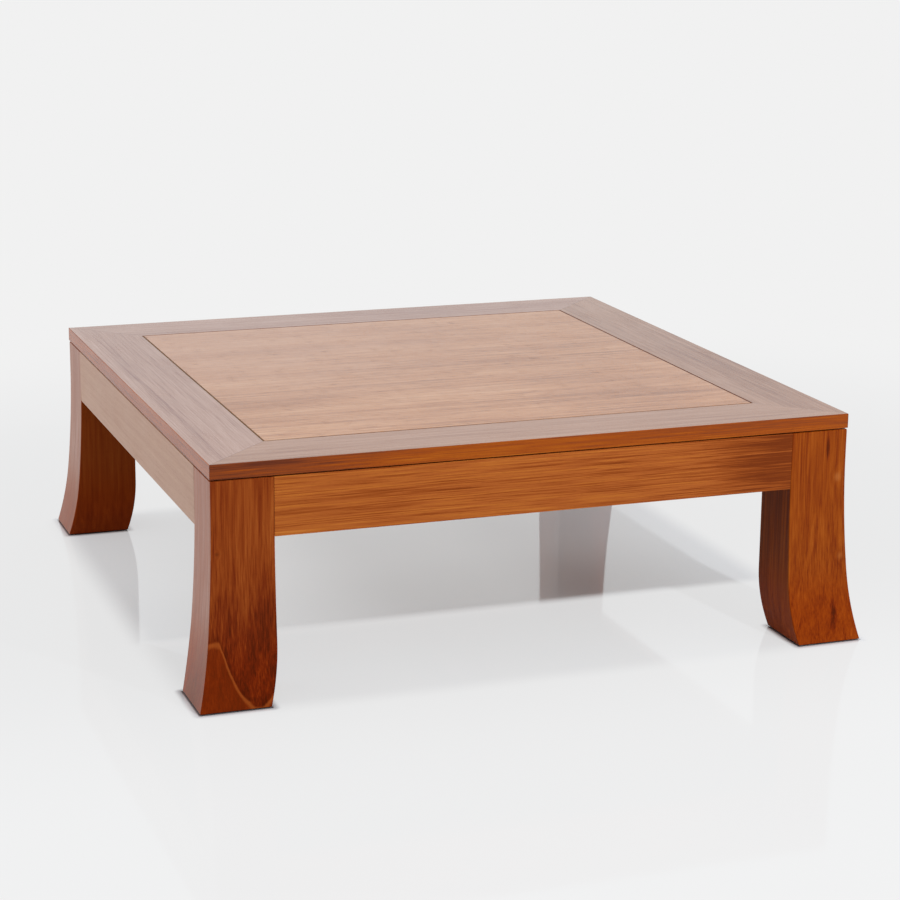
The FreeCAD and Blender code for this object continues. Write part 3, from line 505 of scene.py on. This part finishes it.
# Corner blocks, top battens and cross rails: plain tropical hardwood out of sight under the top,
# planed and given one thin coat of the stain. Blocks are glued and bolted, battens are screwed.
def hidden_hardwood(name, grain, seed):
    """Planed hardwood with one thin coat of stain, dull and even, with straight soft grain."""
    material, tree, shader, place = blank_material(name)
    turned = add(tree, "ShaderNodeMapping", {}, {
        "Vector": place, "Rotation": grain, "Location": (seed, 0, 0)})
    lines = stretched_noise(tree, turned, (6.0, 260.0, 260.0), 3.0)
    bands = stretched_noise(tree, turned, (3.0, 60.0, 60.0), 1.0)
    tone = add(tree, "ShaderNodeMath", {}, {0: lines, 1: bands})
    tone = add(tree, "ShaderNodeMath", {"operation": "MULTIPLY_ADD"}, {0: tone, 1: 1.1, 2: -0.6})
    colour = add(tree, "ShaderNodeValToRGB", {}, {"Fac": tone}, [
        (0.1, linear("#6B4226")), (0.5, linear("#8A5C38")), (0.9, linear("#A3744C"))])
    bump = add(tree, "ShaderNodeBump", {}, {"Height": lines, "Distance": 0.0002, "Strength": 0.6})
    rough = add(tree, "ShaderNodeMapRange", {}, {"Value": bands, "To Min": 0.55, "To Max": 0.75})
    tree.links.new(colour.outputs["Color"], shader.inputs["Base Color"])
    tree.links.new(rough.outputs[0], shader.inputs["Roughness"])
    tree.links.new(bump.outputs[0], shader.inputs["Normal"])
    return material


dress(("top_batten_front", "top_batten_back", "corner_block_front_left", "corner_block_back_right"),
      hidden_hardwood("planed_hardwood_along_x", GRAIN_ALONG_X, 0.4))
dress(("top_batten_right", "top_batten_left", "cross_rail_left", "cross_rail_right",
       "corner_block_front_right", "corner_block_back_left"),
      hidden_hardwood("planed_hardwood_along_y", GRAIN_ALONG_Y, 1.9))


# The panel: a plywood core between a teak face veneer and a plainer backing veneer, let into the
# border by a tongue. The face veneer is sliced thin and laid in one direction, lacquered satin.
VENEER_COLOURS = ("#86502F", "#AA7048", "#BF865C", "#CB956C", "#D8A982")
# A pink wash as wide as most of the panel takes a knot's place: painted sheen, for the glare that grows
# towards the back left. A faint shade lies front right.
VENEER_SHEEN_WASH = (((-0.34, 0.34, 0.357), (0.75, 0.75, 0.3), "#C2957E"),)
VENEER_SHADE = (((0.22, -0.24, 0.357), (0.22, 0.30, 0.2), -0.16),)
BACKING_COLOURS = ("#7A5232", "#8C6440", "#9C744E", "#AC845C")
dress(["panel_face_veneer"],
      teak("teak_face_veneer", GRAIN_ALONG_X, (0.0, -2.6, 0.1), VENEER_COLOURS, ring=0.014, sway=0.03,
           contrast=1.35, roughness=0.25, seams=True, fineness=2.0, hairs=1.6, pore_size=2.6,
           knots=VENEER_SHEEN_WASH, stains=VENEER_SHADE))
dress(["panel_back_veneer"],
      teak("backing_veneer", GRAIN_ALONG_X, (4.0, -0.1, 0.25), BACKING_COLOURS, contrast=0.7,
           roughness=0.6))


def sawn_layers(name, colours, layer):
    """Raw edge of glued layers of wood: bands as thick as a layer, each with its own short grain."""
    material, tree, shader, place = blank_material(name)
    height = add(tree, "ShaderNodeSeparateXYZ", {}, {0: place}).outputs["Z"]
    count = add(tree, "ShaderNodeMath", {"operation": "DIVIDE"}, {0: height, 1: layer})
    step = add(tree, "ShaderNodeMath", {"operation": "FLOOR"}, {0: count})
    band = add(tree, "ShaderNodeTexWhiteNoise", {"noise_dimensions": "1D"}, {"W": step})
    fibre = stretched_noise(tree, place, (160.0, 160.0, 900.0), 2.0)
    tone = add(tree, "ShaderNodeMath", {"operation": "MULTIPLY"}, {0: fibre, 1: 0.5})
    tone = add(tree, "ShaderNodeMath", {"operation": "MULTIPLY_ADD"}, {
        0: band.outputs["Value"], 1: 0.5, 2: tone})
    colour = add(tree, "ShaderNodeValToRGB", {}, {"Fac": tone}, [
        (step_share, linear(shade)) for step_share, shade in zip((0.2, 0.8), colours)])
    bump = add(tree, "ShaderNodeBump", {}, {"Height": tone, "Distance": 0.0002, "Strength": 0.5})
    tree.links.new(colour.outputs["Color"], shader.inputs["Base Color"])
    tree.links.new(bump.outputs[0], shader.inputs["Normal"])
    shader.inputs["Roughness"].default_value = 0.75
    return material


dress(["panel_core"], sawn_layers("blockboard_core", ("#8C6A44", "#C4A070"), 0.0032))


# The border: four mitred boards of solid teak round the panel, grain along each board, joined at
# the corners by loose plywood tongues. Stained a little darker than the panel, satin lacquer.
BORDER_COLOURS = ("#5E2E20", "#803E20", "#984818", "#A65518", "#B66822")
# The tops are paler than the edges as painted sheen, for the lacquer's glare on them.
BORDER_TOP_SHEEN_COLOURS = ("#7A4A38", "#946A54", "#A67E68", "#B18A76", "#BE9A88")
# The tops of the left and back boards are paler, for the glare that the photograph shows there.
BORDER_TOP_PALER = ("#7E524A", "#987266", "#AB8779", "#B69487", "#C4A499")
# The front board's edge darkens to the left, and two dark streaks lie near its left mitre. The right
# board is darker all along, and the left board has a dark and a pale streak.
BORDER_STAINS = {
    "front": (((-0.46, -0.535, 0.343), (0.46, 0.065, 0.1), -0.75),
              ((-0.34, -0.462, 0.357), (0.11, 0.004, 0.01), -0.32),
              ((-0.37, -0.446, 0.357), (0.06, 0.003, 0.01), -0.28)),
    "right": (((0.45, -0.1, 0.357), (0.3, 0.9, 0.2), -0.22),),
    "back": (),
    "left": (((-0.474, -0.1, 0.357), (0.007, 0.55, 0.01), -0.30),
             ((-0.490, -0.1, 0.357), (0.009, 0.60, 0.01), 0.20)),
}
for side, grain, heart in (
    ("front", GRAIN_ALONG_X, (0.5, -0.40, 0.29)),
    ("right", GRAIN_ALONG_Y, (1.4, -0.43, 0.28)),
    ("back", GRAIN_ALONG_X, (2.2, 0.47, 0.28)),
    ("left", GRAIN_ALONG_Y, (3.1, 0.41, 0.29)),
):
    wood = teak("stained_teak_border_" + side, grain, heart, BORDER_COLOURS, contrast=0.95,
                sheen_top_palette=BORDER_TOP_PALER if side in ("left", "back") else BORDER_TOP_SHEEN_COLOURS,
                roughness=0.25, seams=True, hairs=1.2, stains=BORDER_STAINS[side])
    dress(["top_border_" + side], wood)
dress(["mitre_spline_" + corner for corner in CORNERS],
      sawn_layers("birch_plywood", ("#B08A5C", "#DCC096"), 0.0013))


# Screws, leg bolts and their washers: mild steel, zinc plated and passivated. The screws look pale
# yellow and the bolts blue grey, with a soft cloudy shine. They show only from underneath.
def zinc(name, shades, roughness):
    """Zinc plating: pale metal with cloudy patches in its colour and in its shine."""
    material, tree, shader, place = blank_material(name)
    clouds = add(tree, "ShaderNodeTexNoise", {}, {"Vector": place, "Scale": 420.0, "Detail": 3.0})
    colour = add(tree, "ShaderNodeValToRGB", {}, {"Fac": clouds}, [
        (0.35, linear(shades[0])), (0.65, linear(shades[1]))])
    rough = add(tree, "ShaderNodeMapRange", {}, {
        "Value": clouds, "To Min": roughness - 0.12, "To Max": roughness + 0.12})
    tree.links.new(colour.outputs["Color"], shader.inputs["Base Color"])
    tree.links.new(rough.outputs[0], shader.inputs["Roughness"])
    shader.inputs["Metallic"].default_value = 1.0
    return material


def screw_tree(steel):
    """Rows of countersunk wood screws: one screw, set along a row, and the row set on each side."""
    tree = bpy.data.node_groups.new("countersunk_screws", "GeometryNodeTree")
    given = named_inputs(tree, {
        "Count": 3, "First Place": -0.3244, "Spacing": 0.3244, "Row Offset": -0.455, "Height": 0.3135,
        "Drive Angle": 0.0, "Length": 0.0335, "Head Diameter": 0.008, "Head Height": 0.003,
        "Shank Diameter": 0.004, "Recess Length": 0.0046, "Recess Width": 0.0009, "Recess Depth": 0.0013,
        "Sides": 4, "First Turn": 0, "Turn Step": 1, "Steel": steel}).outputs
    tree.interface.new_socket("Screws", in_out="OUTPUT", socket_type="NodeSocketGeometry")
    # Four rings become the point, the shank's two ends and the head's rim, so the screw is one skin.
    blank = add(tree, "GeometryNodeMeshCylinder", {}, {
        "Vertices": 24, "Side Segments": 3, "Radius": 1.0, "Depth": 2.0}).outputs["Mesh"]
    spot = add(tree, "ShaderNodeSeparateXYZ", {}, {0: add(tree, "GeometryNodeInputPosition")}).outputs
    point, shank, head = [
        add(tree, "ShaderNodeMapRange", {}, {"Value": spot["Z"], "From Min": low, "From Max": low + 2 / 3})
        for low in (-1.0, -1 / 3, 1 / 3)]
    shank_radius, head_radius = [
        add(tree, "ShaderNodeMath", {"operation": "MULTIPLY"}, {0: given[width], 1: 0.5})
        for width in ("Shank Diameter", "Head Diameter")]
    flare = add(tree, "ShaderNodeMath", {"operation": "SUBTRACT"}, {0: head_radius, 1: shank_radius})
    blunt = add(tree, "ShaderNodeMath", {"operation": "MULTIPLY_ADD"}, {0: point, 1: 0.95, 2: 0.05})
    radius = add(tree, "ShaderNodeMath", {"operation": "MULTIPLY"}, {0: blunt, 1: shank_radius})
    radius = add(tree, "ShaderNodeMath", {"operation": "MULTIPLY_ADD"}, {0: head, 1: flare, 2: radius})
    # The plain part of the shank is what the head and the point leave of the length.
    plain = add(tree, "ShaderNodeMath", {"operation": "SUBTRACT"}, {
        0: given["Length"], 1: given["Head Height"]})
    plain = add(tree, "ShaderNodeMath", {"operation": "SUBTRACT"}, {0: plain, 1: given["Shank Diameter"]})
    rise = add(tree, "ShaderNodeMath", {"operation": "MULTIPLY"}, {0: point, 1: given["Shank Diameter"]})
    rise = add(tree, "ShaderNodeMath", {"operation": "MULTIPLY_ADD"}, {0: shank, 1: plain, 2: rise})
    rise = add(tree, "ShaderNodeMath", {"operation": "MULTIPLY_ADD"}, {
        0: head, 1: given["Head Height"], 2: rise})
    rise = add(tree, "ShaderNodeMath", {"operation": "SUBTRACT"}, {0: rise, 1: given["Length"]})
    round_x, round_y = [
        add(tree, "ShaderNodeMath", {"operation": "MULTIPLY"}, {0: spot[axis], 1: radius})
        for axis in ("X", "Y")]
    turned = add(tree, "GeometryNodeSetPosition", {}, {
        "Geometry": blank, "Position": add(tree, "ShaderNodeCombineXYZ", {}, {
            "X": round_x, "Y": round_y, "Z": rise})})
    # The driver's cross is cut into the head.
    depth = add(tree, "ShaderNodeMath", {"operation": "MULTIPLY"}, {0: given["Recess Depth"], 1: 2.0})
    slot_size = add(tree, "ShaderNodeCombineXYZ", {}, {
        "X": given["Recess Length"], "Y": given["Recess Width"], "Z": depth})
    cross_size = add(tree, "ShaderNodeCombineXYZ", {}, {
        "X": given["Recess Width"], "Y": given["Recess Length"], "Z": depth})
    screw = turned
    for size in (slot_size, cross_size):
        cutter = add(tree, "GeometryNodeMeshCube", {}, {"Size": size}).outputs["Mesh"]
        screw = add(tree, "GeometryNodeMeshBoolean", {"operation": "DIFFERENCE", "solver": "EXACT"}, {
            "Mesh 1": screw, "Mesh 2": cutter}).outputs["Mesh"]
    start = add(tree, "ShaderNodeCombineXYZ", {}, {
        "X": given["First Place"], "Y": given["Row Offset"], "Z": given["Height"]})
    places = add(tree, "GeometryNodeMeshLine", {"mode": "OFFSET"}, {
        "Count": given["Count"], "Start Location": start,
        "Offset": add(tree, "ShaderNodeCombineXYZ", {}, {"X": given["Spacing"]})})
    row = add(tree, "GeometryNodeInstanceOnPoints", {}, {
        "Points": places, "Instance": screw,
        "Rotation": add(tree, "ShaderNodeCombineXYZ", {}, {"X": given["Drive Angle"]})})
    # A zero offset puts the sides' points together in the middle, where only their turn differs.
    middle = add(tree, "GeometryNodeMeshLine", {"mode": "OFFSET"}, {
        "Count": given["Sides"], "Offset": (0.0, 0.0, 0.0)})
    turns = add(tree, "ShaderNodeMath", {"operation": "MULTIPLY_ADD"}, {
        0: add(tree, "GeometryNodeInputIndex"), 1: given["Turn Step"], 2: given["First Turn"]})
    turns = add(tree, "ShaderNodeMath", {"operation": "MULTIPLY"}, {0: turns, 1: math.radians(90)})
    sides = add(tree, "GeometryNodeInstanceOnPoints", {}, {
        "Points": middle, "Instance": row, "Rotation": add(tree, "ShaderNodeCombineXYZ", {}, {"Z": turns})})
    whole = add(tree, "GeometryNodeRealizeInstances", {}, {"Geometry": sides})
    finished = add(tree, "GeometryNodeSetMaterial", {}, {"Geometry": whole, "Material": given["Steel"]})
    add(tree, "NodeGroupOutput", {}, {0: finished})
    return tree


screw_steel = zinc("zinc_plated_screw_steel", ("#B4AE9C", "#D2CCBC"), 0.36)
screws = screw_tree(screw_steel)
UPWARDS = math.radians(180)
OUTWARDS = math.radians(-90)
for node, values in (
    ("batten_screws", {"Drive Angle": OUTWARDS}),
    ("top_screws", {"Count": 2, "First Place": -0.2433, "Spacing": 0.4866, "Row Offset": -0.4645,
                    "Height": 0.3, "Drive Angle": UPWARDS, "Length": 0.0485}),
    ("rail_screws", {"First Place": -0.24248, "Spacing": 0.24248, "Row Offset": -0.17, "Height": 0.3,
                     "Drive Angle": UPWARDS, "Length": 0.0485, "Sides": 2, "First Turn": 1,
                     "Turn Step": 2}),
):
    row = made_by_nodes("countersunk_" + node, screws, values)
    row.data.shade_smooth()
    row.data.set_sharp_from_angle(angle=math.radians(30))
    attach(row, "root")
    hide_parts(node)
dress(("leg_bolts", "leg_bolt_washers"),
      zinc("zinc_plated_bolt_steel", ("#A6ABAF", "#CBD0D4"), 0.38))


# Foot glides: round pads of pressed wool felt let into the feet, standing 1 mm proud. Dark brown,
# dull, with short matted fibres in every direction.
felt, tree, shader, place = blank_material("pressed_wool_felt")
tangle = add(tree, "ShaderNodeTexNoise", {}, {
    "Vector": place, "Scale": 900.0, "Detail": 4.0, "Roughness": 0.7, "Distortion": 1.5})
colour = add(tree, "ShaderNodeValToRGB", {}, {"Fac": tangle}, [
    (0.3, linear("#2A211B")), (0.7, linear("#4E4138"))])
bump = add(tree, "ShaderNodeBump", {}, {"Height": tangle, "Distance": 0.0006, "Strength": 0.9})
tree.links.new(colour.outputs["Color"], shader.inputs["Base Color"])
tree.links.new(bump.outputs[0], shader.inputs["Normal"])
shader.inputs["Roughness"].default_value = 0.95
shader.inputs["Sheen Weight"].default_value = 0.3
shader.inputs["Sheen Roughness"].default_value = 0.5
dress(["foot_glide_" + corner for corner in CORNERS], felt)


# The floor: a plain white studio floor with a faint polish, which mirrors the legs softly. Far
# from the table it turns into the white background.
FLOOR_HALF = 9.0
TABLE_HALF = 0.5
FOOT_MIDDLE = 0.4727
FOOT_HALF = 0.0527
bpy.ops.mesh.primitive_plane_add(size=FLOOR_HALF * 2, location=(0, 0, 0))
floor = bpy.context.object
floor.name = "studio_floor"
floor.data.materials.clear()
floor_paint, tree, shader, place = blank_material("polished_white_floor")
# Its own light for the camera: from a tenth to three quarters of it under the table, nine tenths
# round the table, and all of it further off, so that the shadows stay where the table stands.
mirrored = add(tree, "ShaderNodeVectorMath", {"operation": "ABSOLUTE"}, {0: place})
outside = add(tree, "ShaderNodeVectorMath", {"operation": "SUBTRACT"}, {
    0: mirrored, 1: (TABLE_HALF, TABLE_HALF, 0.0)})
outside = add(tree, "ShaderNodeVectorMath", {"operation": "MAXIMUM"}, {0: outside, 1: (0.0, 0.0, 0.0)})
distance = add(tree, "ShaderNodeVectorMath", {"operation": "LENGTH"}, {0: outside}).outputs["Value"]
# The front strip under the table keeps the most of it. Behind that strip there is less of it to the
# right, where the floor mirrors the back leg.
spot = add(tree, "ShaderNodeSeparateXYZ", {}, {0: place}).outputs
shaded = add(tree, "ShaderNodeMapRange", {"interpolation_type": "SMOOTHSTEP"}, {
    "Value": spot["X"], "From Min": -0.35, "From Max": -0.05, "To Min": 0.53, "To Max": 0.28})
darker = add(tree, "ShaderNodeMapRange", {"interpolation_type": "SMOOTHSTEP"}, {
    "Value": spot["X"], "From Min": 0.08, "From Max": 0.25, "To Min": 0.0, "To Max": 0.09})
shaded = add(tree, "ShaderNodeMath", {"operation": "SUBTRACT"}, {0: shaded, 1: darker})
along_edge = add(tree, "ShaderNodeMapRange", {"interpolation_type": "SMOOTHSTEP"}, {
    "Value": spot["Y"], "From Min": -0.16, "From Max": 0.15, "To Min": 0.11, "To Max": 0.0})
shaded = add(tree, "ShaderNodeMath", {"operation": "SUBTRACT"}, {0: shaded, 1: along_edge})
under = add(tree, "ShaderNodeMapRange", {"interpolation_type": "SMOOTHSTEP"}, {
    "Value": spot["Y"], "From Min": -0.215, "From Max": -0.175, "To Min": 0.73, "To Max": shaded})
near = add(tree, "ShaderNodeMapRange", {"interpolation_type": "SMOOTHSTEP"}, {
    "Value": distance, "From Min": 0.0, "From Max": 0.06, "To Min": under, "To Max": 0.90})
fade = add(tree, "ShaderNodeMapRange", {"interpolation_type": "SMOOTHSTEP"}, {
    "Value": distance, "From Min": 0.5, "From Max": 1.6, "To Min": 0.0, "To Max": 0.10})
fade = add(tree, "ShaderNodeMath", {}, {0: near, 1: fade})
# Close to a foot there is none of it, which leaves the dark line where the foot meets the floor.
from_foot = add(tree, "ShaderNodeVectorMath", {"operation": "SUBTRACT"}, {
    0: mirrored, 1: (FOOT_MIDDLE, FOOT_MIDDLE, 0.0)})
from_foot = add(tree, "ShaderNodeVectorMath", {"operation": "ABSOLUTE"}, {0: from_foot})
from_foot = add(tree, "ShaderNodeVectorMath", {"operation": "SUBTRACT"}, {
    0: from_foot, 1: (FOOT_HALF, FOOT_HALF, 0.0)})
from_foot = add(tree, "ShaderNodeVectorMath", {"operation": "MAXIMUM"}, {0: from_foot, 1: (0.0, 0.0, 0.0)})
off_foot = add(tree, "ShaderNodeVectorMath", {"operation": "LENGTH"}, {0: from_foot}).outputs["Value"]
contact = add(tree, "ShaderNodeMapRange", {"interpolation_type": "SMOOTHSTEP"}, {
    "Value": off_foot, "From Min": 0.001, "From Max": 0.014, "To Min": 0.0, "To Max": 1.0})
fade = add(tree, "ShaderNodeMath", {"operation": "MULTIPLY"}, {0: fade, 1: contact})
smudge = add(tree, "ShaderNodeTexNoise", {}, {"Vector": place, "Scale": 3.0, "Detail": 2.0})
tint = add(tree, "ShaderNodeValToRGB", {}, {"Fac": smudge}, [
    (0.3, linear("#E3E9F0")), (0.7, linear("#E7EDF4"))])
# The gap of 1 mm round each felt pad is too thin for this picture, so its shade is drawn 3 mm wide.
shade = add(tree, "ShaderNodeMapRange", {"interpolation_type": "SMOOTHSTEP"}, {
    "Value": off_foot, "From Min": 0.0005, "From Max": 0.0035, "To Min": 0.8, "To Max": 0.0})
tint = add(tree, "ShaderNodeMix", {"data_type": "RGBA"}, {
    "Factor": shade, "A": tint, "B": linear("#1E1612")})
tree.links.new(next(output for output in tint.outputs if output.enabled), shader.inputs["Base Color"])
shader.inputs["Roughness"].default_value = 0.06
shader.inputs["IOR"].default_value = 2.8
path = add(tree, "ShaderNodeLightPath")
# Gloss sees less of it under the table, so the legs' inner faces stay dark.
in_gloss = add(tree, "ShaderNodeMapRange", {"interpolation_type": "SMOOTHSTEP"}, {
    "Value": distance, "From Min": 0.0, "From Max": 0.06, "To Min": 0.05, "To Max": 0.96})
in_gloss = add(tree, "ShaderNodeMath", {"operation": "MULTIPLY"}, {
    0: in_gloss, 1: path.outputs["Is Glossy Ray"]})
seen = add(tree, "ShaderNodeMath", {"operation": "MULTIPLY"}, {0: fade, 1: path.outputs["Is Camera Ray"]})
seen = add(tree, "ShaderNodeMath", {"operation": "MAXIMUM"}, {0: seen, 1: in_gloss})
# Beside and behind the table it is a little dimmer than in front, and even again further off.
dim = add(tree, "ShaderNodeMapRange", {"interpolation_type": "SMOOTHSTEP"}, {
    "Value": spot["Y"], "From Min": -0.9, "From Max": -0.1, "To Min": 0.0, "To Max": -0.06})
close = add(tree, "ShaderNodeMapRange", {"interpolation_type": "SMOOTHSTEP"}, {
    "Value": distance, "From Min": 0.3, "From Max": 1.5, "To Min": 1.0, "To Max": 0.0})
strength = add(tree, "ShaderNodeMath", {"operation": "MULTIPLY_ADD"}, {0: dim, 1: close, 2: 1.0})
white = add(tree, "ShaderNodeEmission", {}, {"Color": linear("#F1F1F1"), "Strength": strength})
mixed = add(tree, "ShaderNodeMixShader", {}, {0: seen, 1: shader, 2: white})
tree.links.new(mixed.outputs[0], tree.nodes["Material Output"].inputs["Surface"])
floor.data.materials.append(floor_paint)


# The light: white surroundings, and one small lamp high in front on the right, which draws the
# hard edges of the shadows under the aprons. It is kept out of reflections, where it would stand
# as a white spot in the polished floor.
world = bpy.data.worlds.new("white_studio")
bpy.context.scene.world = world
world.use_nodes = True
tree = world.node_tree
tree.nodes.clear()
path = add(tree, "ShaderNodeLightPath")
seen = add(tree, "ShaderNodeMath", {"operation": "MAXIMUM"}, {
    0: path.outputs["Is Camera Ray"], 1: path.outputs["Is Glossy Ray"]})
soft = add(tree, "ShaderNodeBackground", {}, {"Color": (1.0, 1.0, 1.0, 1.0), "Strength": 0.68})
glare = add(tree, "ShaderNodeMix", {"data_type": "RGBA"}, {
    "Factor": path.outputs["Is Glossy Ray"], "A": linear("#F1F1F1"), "B": linear("#FFFFFF")})
white = add(tree, "ShaderNodeBackground", {}, {"Color": glare, "Strength": 1.0})
mixed = add(tree, "ShaderNodeMixShader", {}, {0: seen, 1: soft, 2: white})
add(tree, "ShaderNodeOutputWorld", {}, {"Surface": mixed})

lamp = bpy.data.lights.new("key_lamp", "POINT")
lamp.energy = 104.0
lamp.shadow_soft_size = 0.045
key = bpy.data.objects.new("key_lamp", lamp)
key.location = (0.71, -2.41, 1.75)
key.visible_glossy = False
bpy.context.scene.collection.objects.link(key)

# A wide soft lamp on the left, higher than the table, lifts the left faces. The top and the aprons
# keep it off the inner faces of the right legs.
lamp = bpy.data.lights.new("left_softbox", "AREA")
lamp.size = 1.8
lamp.energy = 20.0
softbox = bpy.data.objects.new("left_softbox", lamp)
softbox.location = (-3.2, 0.7, 1.3)
aim = mathutils.Vector((0.0, 0.0, 0.25)) - softbox.location
softbox.rotation_euler = aim.to_track_quat("-Z", "Y").to_euler()
bpy.context.scene.collection.objects.link(softbox)


# The camera: a short telephoto at chest height, front left of the table.
lens = bpy.data.cameras.new("front_left_view")
lens.lens = 95.6844
lens.sensor_width = 36.0
camera = bpy.data.objects.new("front_left_view", lens)
camera.location = (-1.28070, -3.62304, 1.20423)
camera.rotation_euler = [math.radians(angle) for angle in (75.5939, -0.4975, -19.8515)]
bpy.context.scene.collection.objects.link(camera)
bpy.context.scene.camera = camera
bpy.context.scene.view_settings.view_transform = "Standard"
